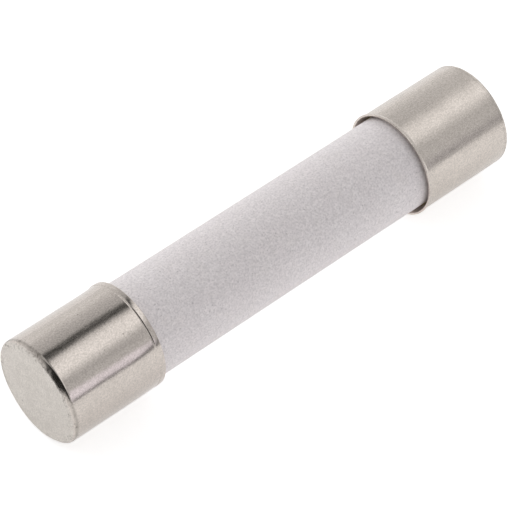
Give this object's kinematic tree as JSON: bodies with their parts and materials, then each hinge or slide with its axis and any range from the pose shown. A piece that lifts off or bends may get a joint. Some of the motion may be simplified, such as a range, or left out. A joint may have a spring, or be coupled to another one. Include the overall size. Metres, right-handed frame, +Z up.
{
  "type": "ceramic cartridge fuse",
  "caption": "Round ceramic cartridge fuse with a plated metal cup on each end. The inside, a wound wire element in sand, is a guess.",
  "frame": {"origin": "middle of the fuse, on its axis", "axes": "+X along the fuse's axis from the front cap to the rear cap, +Z up as it lies on a table; the front cap is at -X"},
  "size_m": [0.032, 0.0064, 0.0064],
  "materials": {
    "tube_ceramic": "matte",
    "cap_nickel": "gloss",
    "cement": "matte",
    "washer_fibre": "matte",
    "solder": "satin",
    "core_ceramic": "matte",
    "wire_copper": "gloss",
    "tin": "satin",
    "quartz_sand": "matte"
  },
  "bodies": {
    "root": {"ceramic_tube": "tube_ceramic", "quartz_sand": "quartz_sand", "element_core": "core_ceramic", "fuse_wire": "wire_copper", "tin_bead": "tin", "end_cap_front": "cap_nickel", "cap_cement_front": "cement", "sealing_washer_front": "washer_fibre", "solder_front": "solder", "end_cap_rear": "cap_nickel", "cap_cement_rear": "cement", "sealing_washer_rear": "washer_fibre", "solder_rear": "solder"}
  },
  "joints": []
}
